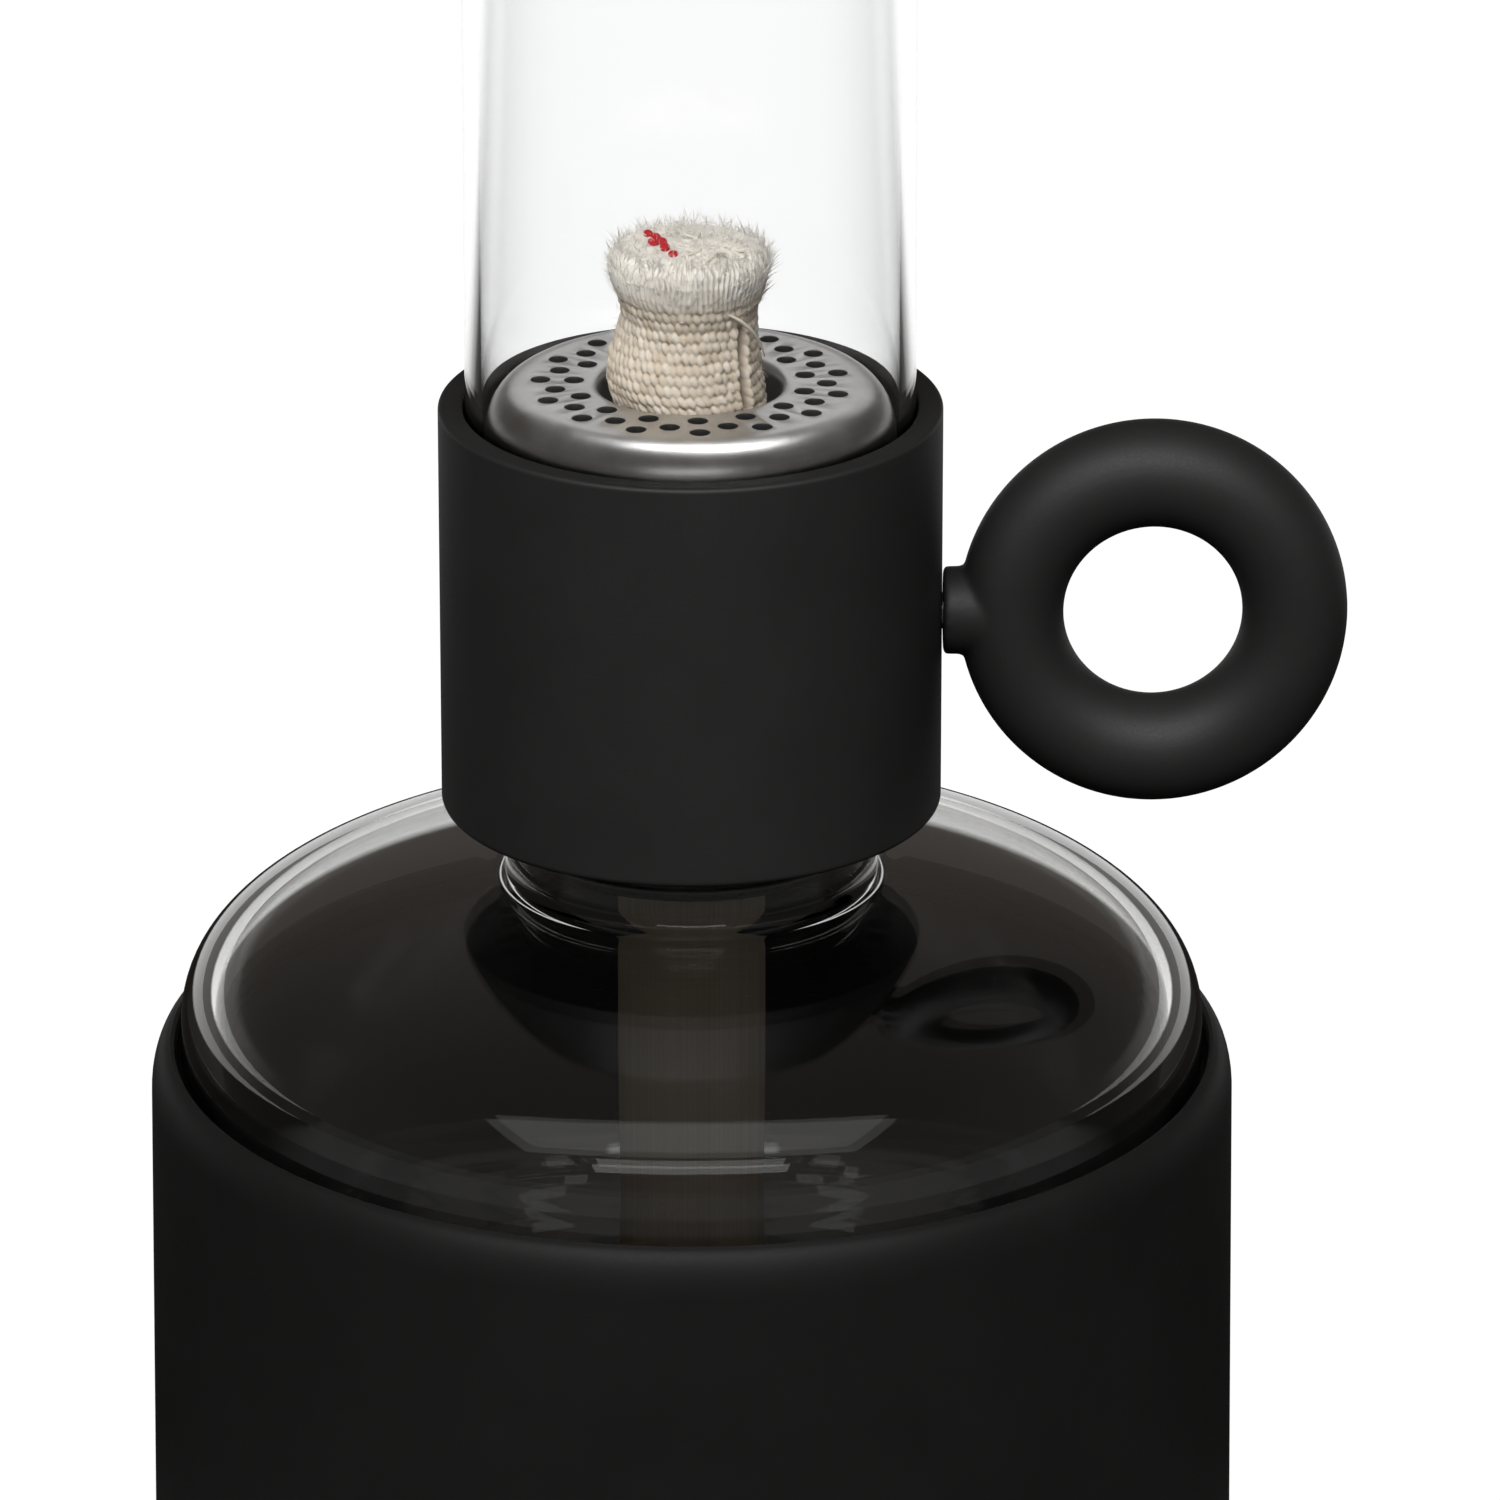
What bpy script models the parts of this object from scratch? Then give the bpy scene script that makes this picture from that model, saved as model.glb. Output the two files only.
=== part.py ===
"""Oil lamp: a glass chimney over a perforated burner, in a black collar with a ring handle, on a
glass reservoir that stands in a black base cup.

Frame: origin under the middle of the foot, +Z up along the lamp's axis, +X towards the ring handle.
Sizes are in millimetres up to the mm() call that turns them into metres.
"""

from math import cos, pi, radians, sin, tan

import bmesh
import bpy
from mathutils import Matrix, Vector

# Driving dimensions, in millimetres.
GAP = 0.3  # left between pieces that rest on each other
SIDES = 40  # flats round a turned piece
FINE_SIDES = 24  # flats round a slim one

FOOT_Z = 1.0  # underside of the base cup, above the foot pad's face
LIP_Z = 72.0  # rim of the base cup
COLLAR_Z = 107.0  # underside of the collar
COLLAR_TOP_Z = 163.0
CAP_Z = 166.3  # perforated face of the burner cap
WICK_TOP_Z = 187.0
CHIMNEY_TOP_Z = 305.0

BASE_FOOT_R = 74.1
BASE_SHOULDER_R = 73.4
BASE_BORE_R = 70.2
BASE_FLOOR_Z = 9.0
BASE_SIDE_Z = 60.0  # where the outside starts to lean in
CORNER_R = 22.0  # round the bottom of the base's bore and of the glass that stands in it
CORNER_TOP_Z = 50.0  # a height on the straight wall, clear of the corners
PAD_R = 66.0  # foot pad
PAD_RECESS_Z = 2.2
SHOULDER_WIDTH = 2.9
SHOULDER_HEIGHT = 6.5
GROOVE_R = 71.3  # groove for the bowl ring
GROOVE_Z = (66.4, 66.7, 69.7, 70.0)  # its lower and upper sides, each a little sloped
BOWL_RING_R = 70.9
BOWL_RING_Z = (67.1, 69.3)
RESERVOIR_PAD_R = 38.0

GLASS_R = 69.3  # widest circle of the reservoir
GLASS_EQUATOR_Z = 74.0
DOME_RISE = 23.4
DOME_POWER = 2.5  # 2 would be an ellipse; more is flatter on top
GLASS_SIDE = 4.1
GLASS_TOP = 3.2
GLASS_FLOOR_Z = 12.0
GLASS_FLOOR = 5.0  # its thickness
GLASS_CORNER_R = 18.0
NECK_R = 24.25
NECK_BORE_R = 22.45
NECK_TOP_Z = 103.2
NECK_CHAMFER = 0.5

COLLAR_R = 33.6
COLLAR_BORE_R = 30.3
COLLAR_FLOOR = 3.0
FLOOR_BORE_R = 11.6  # hole for the wick tube, through the collar's floor and the plug
AIR_HOLE_R = 1.9
AIR_HOLE_RING_R = 27.2
AIR_HOLES = 15
VENT_R = 1.2  # lets air into the reservoir as the oil goes down
VENT_PLACE = (0, 17.0)
SPIGOT_R = NECK_BORE_R - GAP
SPIGOT_DEPTH = 6.5
PLUG_FLANGE_R = 24.6
GASKET = 1.2
WASHER = 0.8

TUBE_R = 30.0  # chimney, outside
TUBE_WALL = 2.2
SEAT_Z = 126.0  # ledge that carries the chimney and the cap
SEAT_R = 25.8
GALLERY_SHEET = 0.9

CAP_R = 27.4
CAP_SHOULDER = 5.2
CAP_SHEET = 0.8
CAP_MOUTH_R = 12.1
HOLE_R = 1.35
HOLES_PER_RING = 15
HOLE_RINGS = ((15.5, 9.8), (18.1, -2.2), (20.0, 9.8))  # radius, angle of the first hole

WICK_R = 10.0
WICK_TUBE_BORE_R = 10.4
WICK_TUBE_R = 11.3
WICK_TUBE_FLANGE_R = 16.0
WICK_TUBE_TOP_Z = 158.0
WICK_HEAD_R = 11.2
WICK_END_Z = 24.0

RING_Z = 133.6
RING_X = 61.8
RING_R = 19.0
RING_TUBE_R = 7.05
RING_STRETCH = 1.03  # the ring is a little taller than wide
STEM_R = 5.9
STEM_FLARE_R = 6.6
SCREW_R = 2.5
SCREW_HEAD_R = 5.0
# Lays a piece turned about Z along X, at the height of the ring.
ALONG_X = Matrix.Translation((0, 0, RING_Z / 1000)) @ Matrix.Rotation(pi / 2, 4, "Y")


def mm(value):
    return value / 1000.0


# Outlines are lists of (radius, height) in millimetres.


def rounded(corners):
    """The points of an outline through (radius, height, fillet) corners."""
    points = []
    for i, (r, z, fillet) in enumerate(corners):
        here = Vector((r, z))
        if not fillet:
            points.append((r, z))
            continue
        to_last = (Vector(corners[i - 1][:2]) - here).normalized()
        to_next = (Vector(corners[(i + 1) % len(corners)][:2]) - here).normalized()
        half = to_last.angle(to_next) / 2
        centre = here + (to_last + to_next).normalized() * (fillet / sin(half))
        start = here + to_last * (fillet / tan(half)) - centre
        end = here + to_next * (fillet / tan(half)) - centre
        steps = 1 if fillet < 1 else 2 if fillet < 5 else 4
        for k in range(steps + 1):
            points.append(tuple(centre + start.slerp(end, k / steps).normalized() * fillet))
    return points


def dome(radius, rise, from_r, steps=7):
    """The reservoir's crown from from_r out to its equator, as (radius, height) points."""
    points = []
    for k in range(steps + 1):
        # Even steps of angle put the points close together where the crown turns down.
        r = from_r + (radius - from_r) * sin(pi / 2 * k / steps)
        lift = max(0.0, 1 - (r / radius) ** DOME_POWER) ** (1 / DOME_POWER)
        points.append((r, GLASS_EQUATOR_Z + rise * lift))
    return points


# Pieces.


def finish(name, mesh, look):
    for polygon in mesh.polygons:
        polygon.use_smooth = True
    mesh.set_sharp_from_angle(angle=radians(35))
    mesh.materials.append(look)
    piece = bpy.data.objects.new(name, mesh)
    bpy.context.scene.collection.objects.link(piece)
    return piece


def turned_mesh(name, outline, sides):
    """A solid of revolution about Z. An outline that starts and ends on the axis is left open there."""
    shape = bmesh.new()
    ring = [shape.verts.new((mm(r), 0, mm(z))) for r, z in outline]
    on_axis = outline[0][0] == 0 and outline[-1][0] == 0
    pairs = list(zip(ring, ring[1:]))
    if not on_axis:
        pairs.append((ring[-1], ring[0]))
    edges = [shape.edges.new(pair) for pair in pairs]
    bmesh.ops.spin(
        shape, geom=ring + edges, cent=(0, 0, 0), axis=(0, 0, 1), angle=2 * pi, steps=sides, use_merge=True
    )
    bmesh.ops.remove_doubles(shape, verts=shape.verts, dist=1e-6)
    bmesh.ops.dissolve_degenerate(shape, edges=shape.edges, dist=1e-7)
    bmesh.ops.recalc_face_normals(shape, faces=shape.faces)
    mesh = bpy.data.meshes.new(name)
    shape.to_mesh(mesh)
    shape.free()
    return mesh


def turned(name, outline, look, sides=SIDES):
    return finish(name, turned_mesh(name, outline, sides), look)


def drill(target, name, places, radius, low, high, sides=8):
    """Cuts upright round holes through a piece, at (x, y) places, from height low to high."""
    shape = bmesh.new()
    for x, y in places:
        place = Matrix.Translation((mm(x), mm(y), mm((low + high) / 2)))
        bmesh.ops.create_cone(
            shape,
            cap_ends=True,
            segments=sides,
            radius1=mm(radius),
            radius2=mm(radius),
            depth=mm(high - low),
            matrix=place,
        )
    cut(target, name, shape)


def bore_inward(target, name, near_r, far_r, near, far, sides=16):
    """Cuts a hole along X at the ring's height, from x near to x far, with a radius at each end."""
    shape = bmesh.new()
    bmesh.ops.create_cone(
        shape,
        cap_ends=True,
        segments=sides,
        radius1=mm(near_r),
        radius2=mm(far_r),
        depth=mm(far - near),
        matrix=ALONG_X @ Matrix.Translation((0, 0, mm((near + far) / 2))),
    )
    cut(target, name, shape)


def cut(target, name, shape, operation="DIFFERENCE"):
    """Gives a piece a Boolean with the bmesh as its hidden cutter."""
    bmesh.ops.recalc_face_normals(shape, faces=shape.faces)
    mesh = bpy.data.meshes.new(name)
    shape.to_mesh(mesh)
    shape.free()
    cutter = bpy.data.objects.new(name, mesh)
    cutter.hide_render = True
    cutter.display_type = "WIRE"
    bpy.context.scene.collection.objects.link(cutter)
    boolean = target.modifiers.new(name, "BOOLEAN")
    boolean.operation = operation
    boolean.object = cutter
    boolean.solver = "EXACT"


def on_circle(radius, count, first=0.0):
    angles = [radians(first + 360 / count * i) for i in range(count)]
    return [(radius * cos(angle), radius * sin(angle)) for angle in angles]


def material(name, colour, roughness, metallic=0.0, alpha=1.0):
    look = bpy.data.materials.new(name)
    look.use_nodes = True
    shader = look.node_tree.nodes["Principled BSDF"]
    shader.inputs["Base Color"].default_value = (*colour, 1.0)
    shader.inputs["Roughness"].default_value = roughness
    shader.inputs["Metallic"].default_value = metallic
    shader.inputs["Alpha"].default_value = alpha
    return look


def make_base(black, rubber):
    """The cup that the reservoir stands in, with its foot pad, its floor pad and its bowl ring."""
    shoulder = []
    for k in range(4):
        turn = pi / 2 * k / 4
        r = BASE_SHOULDER_R - SHOULDER_WIDTH * (1 - cos(turn))
        shoulder.append((r, LIP_Z - SHOULDER_HEIGHT * (1 - sin(turn))))
    # Each part of the outline carries on from the one before: under the cup, up its outside, over the
    # lip, and down the bore past the groove to the floor.
    recess = [(0, PAD_RECESS_Z), (PAD_R + GAP, PAD_RECESS_Z), (PAD_R + GAP, FOOT_Z)]
    foot = (BASE_FOOT_R, FOOT_Z, 2.0)
    outside = rounded(((PAD_R, FOOT_Z, 0), foot, (BASE_SHOULDER_R, BASE_SIDE_Z, 0)))[1:-1]
    lip = [(BASE_BORE_R + 0.3, LIP_Z), (BASE_BORE_R, LIP_Z - 0.4)]
    low, lower, upper, high = GROOVE_Z
    groove = [(BASE_BORE_R, high), (GROOVE_R, upper), (GROOVE_R, lower), (BASE_BORE_R, low)]
    corner = (BASE_BORE_R, BASE_FLOOR_Z, CORNER_R)
    bore = rounded(((BASE_BORE_R, low, 0), corner, (0, BASE_FLOOR_Z, 0)))[1:]
    turned("base_cup", recess + outside + shoulder + lip + groove + bore, black)
    turned("foot_pad", ((0, 0), (PAD_R, 0), (PAD_R, 1.9), (0, 1.9)), rubber)
    low, high = BASE_FLOOR_Z + GAP, GLASS_FLOOR_Z - GAP
    pad = ((0, low), (RESERVOIR_PAD_R, low), (RESERVOIR_PAD_R, high), (0, high))
    turned("reservoir_pad", pad, rubber)
    inner, outer = GLASS_R + GAP, BOWL_RING_R
    low, high = BOWL_RING_Z
    ring = rounded(((inner, low, 0.4), (outer, low, 0), (outer, high, 0), (inner, high, 0.4)))
    turned("bowl_ring", ring, rubber)


def make_reservoir(glass):
    """A bowl with a flattened crown and a short upright neck, in one closed wall."""
    corner = (GLASS_R, GLASS_FLOOR_Z, CORNER_R)
    below = rounded(((GLASS_R, CORNER_TOP_Z, 0), corner, (0, GLASS_FLOOR_Z, 0)))[1:]
    # Two points round the sharp turn where the neck meets the crown, outside, and one inside.
    outside = [(NECK_R, 98.2), (24.9, 97.3)] + dome(GLASS_R, DOME_RISE, 26.4) + below
    bore = GLASS_R - GLASS_SIDE
    bottom = GLASS_FLOOR_Z + GLASS_FLOOR
    below = rounded(((bore, CORNER_TOP_Z, 0), (bore, bottom, GLASS_CORNER_R), (0, bottom, 0)))[1:]
    inside = [(NECK_BORE_R, 95.6)] + dome(bore, DOME_RISE - GLASS_TOP, 23.4) + below
    rim = [
        (NECK_BORE_R, NECK_TOP_Z - NECK_CHAMFER),
        (NECK_BORE_R + NECK_CHAMFER, NECK_TOP_Z),
        (NECK_R - NECK_CHAMFER, NECK_TOP_Z),
        (NECK_R, NECK_TOP_Z - NECK_CHAMFER),
    ]
    turned("reservoir", inside[::-1] + rim + outside, glass)


def make_neck(black, rubber, steel):
    """The plug in the reservoir's neck, its gasket and the wick tube that screws down into it."""
    low, high = NECK_TOP_Z + GAP, NECK_TOP_Z + GAP + GASKET
    inner = SPIGOT_R + GAP
    gasket = rounded(((inner, low, 0), (NECK_R, low, 0.3), (NECK_R, high, 0.3), (inner, high, 0)))
    turned("neck_gasket", gasket, rubber)
    flange = high + GAP
    top = COLLAR_Z - GAP
    bottom = COLLAR_Z - SPIGOT_DEPTH
    plug = turned(
        "neck_plug",
        rounded(
            (
                (FLOOR_BORE_R, bottom, 0),
                (SPIGOT_R, bottom, 0.5),
                (SPIGOT_R, flange, 0),
                (PLUG_FLANGE_R, flange, 0),
                (PLUG_FLANGE_R, top, 0.4),
                (FLOOR_BORE_R, top, 0),
            )
        ),
        black,
    )
    drill(plug, "plug_vent", [VENT_PLACE], VENT_R, bottom - 2, top + 2)
    low = COLLAR_Z + COLLAR_FLOOR + GAP
    high = low + WASHER
    inner, outer = WICK_TUBE_R + 0.4, WICK_TUBE_FLANGE_R - 0.5
    turned("tube_washer", ((inner, low), (outer, low), (outer, high), (inner, high)), rubber)
    floor = high + GAP
    turned(
        "wick_tube",
        rounded(
            (
                (WICK_TUBE_BORE_R, bottom, 0),
                (WICK_TUBE_R, bottom, 0),
                (WICK_TUBE_R, floor, 0),
                (WICK_TUBE_FLANGE_R, floor, 0.4),
                (WICK_TUBE_FLANGE_R, floor + 2.0, 0.4),
                (WICK_TUBE_R, floor + 2.0, 0),
                (WICK_TUBE_R, WICK_TUBE_TOP_Z, 0.3),
                (WICK_TUBE_BORE_R, WICK_TUBE_TOP_Z, 0.3),
            )
        ),
        steel,
        FINE_SIDES,
    )


def make_collar(black):
    """The black cylinder: a cup with air holes and a vent in its floor and a screw hole in its wall."""
    floor = COLLAR_Z + COLLAR_FLOOR
    collar = turned(
        "collar",
        rounded(
            (
                (FLOOR_BORE_R, COLLAR_Z, 0),
                (COLLAR_R, COLLAR_Z, 0.8),
                (COLLAR_R, COLLAR_TOP_Z, 0.6),
                (COLLAR_BORE_R, COLLAR_TOP_Z, 0.5),
                (COLLAR_BORE_R, floor, 0),
                (FLOOR_BORE_R, floor, 0),
            )
        ),
        black,
    )
    air_holes = on_circle(AIR_HOLE_RING_R, AIR_HOLES)
    drill(collar, "air_holes", air_holes, AIR_HOLE_R, COLLAR_Z - 2, floor + 2)
    drill(collar, "collar_vent", [VENT_PLACE], VENT_R, COLLAR_Z - 2, floor + 2)
    hole_r = SCREW_R + GAP
    bore_inward(collar, "handle_screw_hole", hole_r, hole_r, COLLAR_BORE_R - 4, COLLAR_R + 2)
    # 6.9 is the countersink's radius at the cutter's inner end, 1 mm inside the bore.
    bore_inward(collar, "handle_screw_countersink", 6.9, hole_r, COLLAR_BORE_R - 1, COLLAR_BORE_R + 2.8)


def make_handle(black, steel):
    """The finger ring with its stem, and the countersunk screw that holds it from inside the collar."""
    shape = bmesh.new()
    stem_low = COLLAR_R + 0.1
    stem_high = RING_X - RING_R
    outline = rounded(
        (
            (0, stem_low, 0),
            (STEM_R, stem_low, 0.3),
            (STEM_R, stem_high - 7.0, 1.5),
            (STEM_FLARE_R, stem_high - 3.5, 0),
            (STEM_FLARE_R, stem_high, 0),
            (0, stem_high, 0),
        )
    )
    stem_mesh = turned_mesh("handle_ring", outline, 24)
    stem_mesh.transform(ALONG_X)
    ring = finish("handle_ring", stem_mesh, black)
    around, across = 32, 14
    rows = []
    for i in range(around):
        turn = 2 * pi * i / around
        row = []
        for j in range(across):
            roll = 2 * pi * j / across
            reach = RING_R + RING_TUBE_R * cos(roll)
            x, y = RING_X + reach * cos(turn), RING_TUBE_R * sin(roll)
            row.append(shape.verts.new((mm(x), mm(y), mm(RING_Z + RING_STRETCH * reach * sin(turn)))))
        rows.append(row)
    for i in range(around):
        for j in range(across):
            after, beside = (i + 1) % around, (j + 1) % across
            shape.faces.new((rows[i][j], rows[after][j], rows[after][beside], rows[i][beside]))
    cut(ring, "finger_ring", shape, "UNION")
    socket_r = SCREW_R + GAP
    bore_inward(ring, "handle_screw_socket", socket_r, socket_r, stem_low - 2, stem_low + 12)

    head, tip = COLLAR_BORE_R + 0.2, stem_low + 11.0
    outline = ((0, head), (SCREW_HEAD_R, head), (SCREW_R, head + 2.4), (SCREW_R, tip), (0, tip))
    screw_mesh = turned_mesh("handle_screw", outline, 16)
    screw_mesh.transform(ALONG_X)
    screw = finish("handle_screw", screw_mesh, steel)
    bore_inward(screw, "hex_recess", 1.7, 1.7, head - 2, head + 1.7, sides=6)


def make_burner(steel, rubber, glass):
    """The gallery ring in the collar, the cushion and the chimney on it, and the perforated cap."""
    floor = COLLAR_Z + COLLAR_FLOOR + GAP
    skirt_r = COLLAR_BORE_R - GAP
    turned(
        "chimney_gallery",
        rounded(
            (
                (skirt_r - GALLERY_SHEET, floor, 0),
                (skirt_r, floor, 0),
                (skirt_r, SEAT_Z, 0.8),
                (SEAT_R, SEAT_Z, 0),
                (SEAT_R, SEAT_Z - 1.0, 0),
                (skirt_r - GALLERY_SHEET, SEAT_Z - 1.0, 0),
            )
        ),
        steel,
    )
    low, high = SEAT_Z + GAP, SEAT_Z + GAP + GASKET
    bore = TUBE_R - TUBE_WALL
    inner, outer = bore + 0.2, TUBE_R - 0.2
    turned("chimney_cushion", ((inner, low), (outer, low), (outer, high), (inner, high)), rubber)
    foot, top = high + GAP, CHIMNEY_TOP_Z
    tube = rounded(((bore, foot, 0), (TUBE_R, foot, 0), (TUBE_R, top, 0.9), (bore, top, 0.9)))
    turned("chimney", tube, glass)
    inner = CAP_R - CAP_SHEET
    mouth = CAP_MOUTH_R + CAP_SHEET
    cap = turned(
        "burner_cap",
        rounded(
            (
                (inner, low, 0),
                (CAP_R, low, 0),
                (CAP_R, CAP_Z, CAP_SHOULDER),
                (CAP_MOUTH_R, CAP_Z, 1.4),
                (CAP_MOUTH_R, CAP_Z - 4.5, 0),
                (mouth, CAP_Z - 4.5, 0),
                (mouth, CAP_Z - CAP_SHEET, 0.6),
                (inner, CAP_Z - CAP_SHEET, CAP_SHOULDER - CAP_SHEET),
            )
        ),
        steel,
    )
    places = []
    for radius, first in HOLE_RINGS:
        places += on_circle(radius, HOLES_PER_RING, first)
    drill(cap, "flame_holes", places, HOLE_R, CAP_Z - 3, CAP_Z + 2)


def make_wick(cotton):
    """The round wick: a flared head, a waist above the cap, and a tail down into the reservoir."""
    turned(
        "wick",
        rounded(
            (
                (0, WICK_TOP_Z, 0),
                (WICK_HEAD_R, WICK_TOP_Z - 0.5, 2.0),
                (WICK_HEAD_R - 0.2, WICK_TOP_Z - 7.0, 3.0),
                (WICK_R - 0.5, WICK_TOP_Z - 13.0, 4.0),
                (WICK_R, WICK_TOP_Z - 21.0, 0),
                (WICK_R, WICK_END_Z, 1.0),
                (0, WICK_END_Z, 0),
            )
        ),
        cotton,
        FINE_SIDES,
    )


def main():
    for old in list(bpy.data.objects):
        bpy.data.objects.remove(old)
    black = material("matte_black", (0.016, 0.016, 0.016), 0.55)
    rubber = material("black_rubber", (0.02, 0.02, 0.02), 0.8)
    steel = material("satin_steel", (0.55, 0.54, 0.53), 0.35, metallic=1.0)
    glass = material("clear_glass", (0.95, 0.96, 0.96), 0.02, alpha=0.35)
    cotton = material("cotton", (0.72, 0.62, 0.48), 0.95)
    make_base(black, rubber)
    make_reservoir(glass)
    make_neck(black, rubber, steel)
    make_collar(black)
    make_handle(black, steel)
    make_burner(steel, rubber, glass)
    make_wick(cotton)


main()
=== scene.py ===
"""The looks of the oil lamp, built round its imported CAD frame.

The frame is in metres, with +Z up and +X towards the finger ring. Sizes here are in millimetres.
"""

from math import cos, pi, radians, sin, tan

import bpy
import numpy as np
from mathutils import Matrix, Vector


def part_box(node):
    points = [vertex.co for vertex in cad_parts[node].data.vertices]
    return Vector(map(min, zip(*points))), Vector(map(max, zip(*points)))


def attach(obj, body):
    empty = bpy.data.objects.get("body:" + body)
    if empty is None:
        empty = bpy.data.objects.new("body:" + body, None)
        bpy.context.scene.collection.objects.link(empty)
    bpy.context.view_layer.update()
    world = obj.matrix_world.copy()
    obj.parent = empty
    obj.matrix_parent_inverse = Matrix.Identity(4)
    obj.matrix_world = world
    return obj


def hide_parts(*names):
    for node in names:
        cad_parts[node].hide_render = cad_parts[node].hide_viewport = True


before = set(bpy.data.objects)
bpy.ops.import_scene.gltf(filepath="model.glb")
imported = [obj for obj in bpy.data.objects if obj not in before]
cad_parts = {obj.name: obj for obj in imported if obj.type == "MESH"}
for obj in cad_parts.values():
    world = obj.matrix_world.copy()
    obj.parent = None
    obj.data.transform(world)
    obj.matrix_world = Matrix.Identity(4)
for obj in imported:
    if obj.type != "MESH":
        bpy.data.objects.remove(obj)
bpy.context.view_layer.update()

# ---------------------------------------------------------------------------------------------
# Sizes. The ends of each piece come from its CAD solid.
# ---------------------------------------------------------------------------------------------

MM = 0.001


def mm(value):
    """Metres from millimetres."""
    return value * MM


def span(node):
    """Lowest and highest corner of a CAD node, in millimetres."""
    low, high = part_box(node)
    return [v / MM for v in low], [v / MM for v in high]


BASE_LOW, BASE_HIGH = span("base_cup")
GLASS_LOW, GLASS_HIGH = span("reservoir")
COLLAR_LOW, COLLAR_HIGH = span("collar")
TUBE_LOW, TUBE_HIGH = span("chimney")
CAP_LOW, CAP_HIGH = span("burner_cap")
RING_LOW, RING_HIGH = span("handle_ring")

FINE_STEPS = 192  # flats round the base, the bowl and the chimney
STEPS = 160  # flats round the collar and the cap

# ---------------------------------------------------------------------------------------------
# Tools
# ---------------------------------------------------------------------------------------------


def deselect():
    if bpy.context.mode != "OBJECT":
        bpy.ops.object.mode_set(mode="OBJECT")
    bpy.ops.object.select_all(action="DESELECT")


def rounded(corners, steps=8):
    """The points of an outline through (radius, height, fillet) corners, in millimetres."""
    points = []
    for i, (r, z, fillet) in enumerate(corners):
        here = Vector((r, z))
        if not fillet:
            points.append((r, z))
            continue
        to_last = (Vector(corners[i - 1][:2]) - here).normalized()
        to_next = (Vector(corners[(i + 1) % len(corners)][:2]) - here).normalized()
        half = to_last.angle(to_next) / 2
        centre = here + (to_last + to_next).normalized() * (fillet / sin(half))
        start = to_last * (fillet / tan(half)) + here - centre
        end = to_next * (fillet / tan(half)) + here - centre
        for k in range(steps + 1):
            points.append(tuple(centre + start.slerp(end, k / steps).normalized() * fillet))
    return points


HELD_RUN = 2.0  # a straight run longer than this is held at its ends
HOLD = 0.15


def held(outline, closed):
    """The outline with a point just inside each end of its long runs.

    They keep the soft shading of a fillet at the fillet, so that straight glass refracts as straight.
    """
    points = []
    for i, here in enumerate(outline):
        points.append(here)
        if i + 1 == len(outline) and not closed:
            break
        there = outline[(i + 1) % len(outline)]
        run = Vector((there[0] - here[0], there[1] - here[1]))
        if run.length > HELD_RUN:
            step = run.normalized() * HOLD
            points.append((here[0] + step.x, here[1] + step.y))
            points.append((there[0] - step.x, there[1] - step.y))
    return points


def lathe(name, outline, steps=STEPS):
    """Extrudes a point along an outline of (radius, height) millimetres and spins it round the axis."""
    on_axis = outline[0][0] == 0 and outline[-1][0] == 0
    outline = held(outline, not on_axis)
    deselect()
    bpy.ops.mesh.primitive_plane_add(size=MM)
    piece = bpy.context.object
    piece.name = name
    bpy.ops.object.mode_set(mode="EDIT")
    bpy.ops.mesh.merge(type="CENTER")
    bpy.ops.transform.translate(value=(mm(outline[0][0]), 0, mm(outline[0][1])))
    rest = outline[1:] if on_axis else outline[1:] + outline[:1]
    last = outline[0]
    for here in rest:
        move = (mm(here[0] - last[0]), 0, mm(here[1] - last[1]))
        bpy.ops.mesh.extrude_vertices_move(TRANSFORM_OT_translate={"value": move})
        last = here
    bpy.ops.mesh.select_all(action="SELECT")
    bpy.ops.mesh.spin(steps=steps, angle=2 * pi, center=(0, 0, 0), axis=(0, 0, 1))
    bpy.ops.mesh.select_all(action="SELECT")
    bpy.ops.mesh.remove_doubles(threshold=1e-6)
    bpy.ops.mesh.dissolve_degenerate(threshold=1e-7)
    bpy.ops.mesh.select_all(action="SELECT")
    bpy.ops.mesh.normals_make_consistent(inside=False)
    bpy.ops.object.mode_set(mode="OBJECT")
    bpy.ops.object.shade_smooth_by_angle(angle=radians(32))
    return piece


def pick(*pieces):
    """Selects only these pieces, and makes the first one active."""
    deselect()
    for piece in pieces:
        piece.select_set(True)
    bpy.context.view_layer.objects.active = pieces[0]


def modify(piece, kind, **settings):
    """Adds a modifier with these settings and applies it."""
    pick(piece)
    modifier = piece.modifiers.new(kind.lower(), kind)
    for key, value in settings.items():
        setattr(modifier, key, value)
    bpy.ops.object.modifier_apply(modifier=modifier.name)


def drill(piece, places, radius, low, high, sides=32):
    """Cuts round upright holes through a piece, at (x, y) places in millimetres."""
    deselect()
    pins = []
    for x, y in places:
        bpy.ops.mesh.primitive_cylinder_add(
            vertices=sides,
            radius=mm(radius),
            depth=mm(high - low),
            location=(mm(x), mm(y), mm((low + high) / 2)),
        )
        pins.append(bpy.context.object)
    pick(*pins)
    bpy.ops.object.join()
    cutter = bpy.context.object
    modify(piece, "BOOLEAN", operation="DIFFERENCE", object=cutter, solver="EXACT")
    bpy.data.objects.remove(cutter)


def on_circle(radius, count, first=0.0):
    """Places evenly round the axis, the first one at an angle in degrees."""
    angles = [radians(first + 360 / count * i) for i in range(count)]
    return [(radius * cos(angle), radius * sin(angle)) for angle in angles]


def shade(piece, angle):
    """Smooth shading, except across edges sharper than an angle in degrees."""
    pick(piece)
    bpy.ops.object.shade_smooth_by_angle(angle=radians(angle))


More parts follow.
